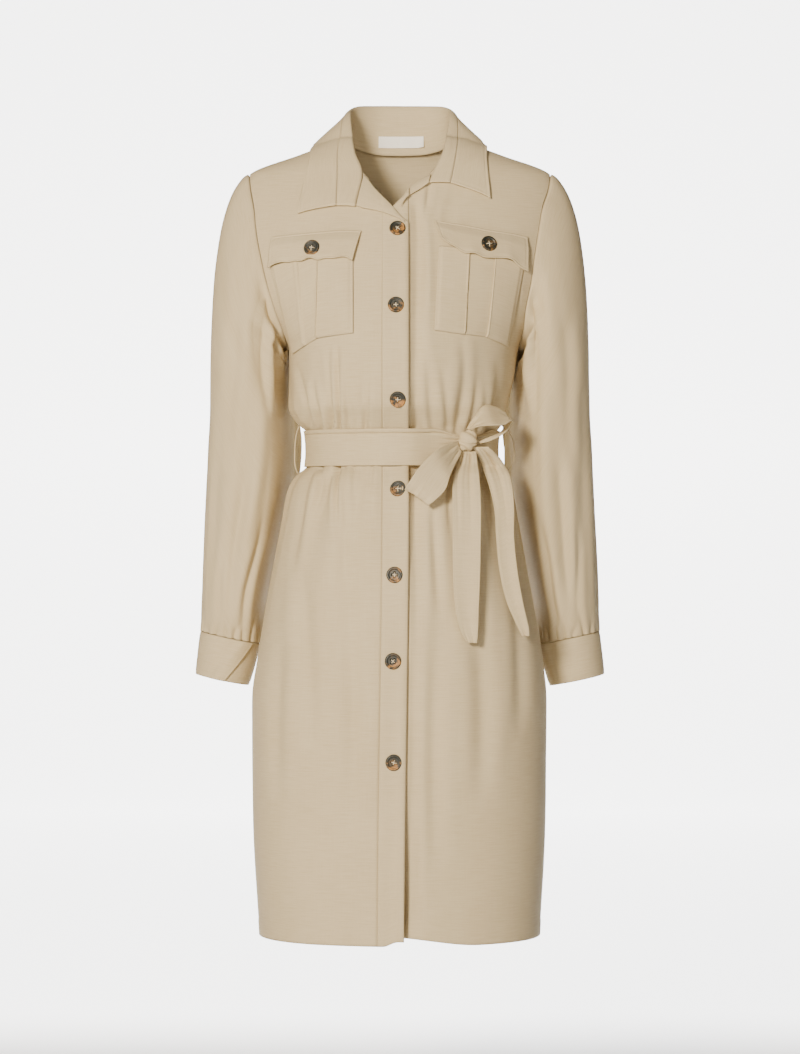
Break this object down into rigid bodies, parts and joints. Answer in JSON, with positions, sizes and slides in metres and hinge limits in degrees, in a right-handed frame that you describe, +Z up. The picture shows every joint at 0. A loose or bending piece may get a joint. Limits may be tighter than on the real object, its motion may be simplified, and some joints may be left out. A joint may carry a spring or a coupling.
{
  "type": "shirt dress",
  "caption": "Knee-length belted shirt dress in slubby sand linen: collar, chest pockets, long cuffed sleeves, self belt tied in a bow",
  "frame": {"origin": "midway between the high points of the shoulders, on the neck's centre line", "axes": "+X to the wearer's left, -Y out of the front, +Z up along the garment's length"},
  "size_m": [0.518, 0.2871, 1.0427],
  "materials": {
    "cloth": "matte slubby plain weave, sand beige",
    "resin": "polished dark tortoiseshell resin",
    "tape": "smooth white woven label, blank"
  },
  "bodies": {
    "root": {"back": "cloth", "band_left": "cloth", "band_right": "cloth", "belt": "cloth", "belt_knot": "cloth", "belt_loop_left": "cloth", "belt_loop_right": "cloth", "bow_loop_left": "cloth", "bow_loop_right": "cloth", "bow_tail_front": "cloth", "bow_tail_side": "cloth", "button_1": "resin", "button_2": "resin", "button_3": "resin", "button_4": "resin", "button_5": "resin", "button_6": "resin", "button_7": "resin", "collar_leaf": "cloth", "collar_stand": "cloth", "cuff_left": "cloth", "cuff_right": "cloth", "facing_left": "cloth", "facing_right": "cloth", "flap_button_left": "resin", "flap_button_right": "resin", "flap_left": "cloth", "flap_right": "cloth", "front_left": "cloth", "front_right": "cloth", "neck_label": "tape", "pocket_left": "cloth", "pocket_right": "cloth", "sleeve_left": "cloth", "sleeve_right": "cloth"}
  },
  "joints": []
}
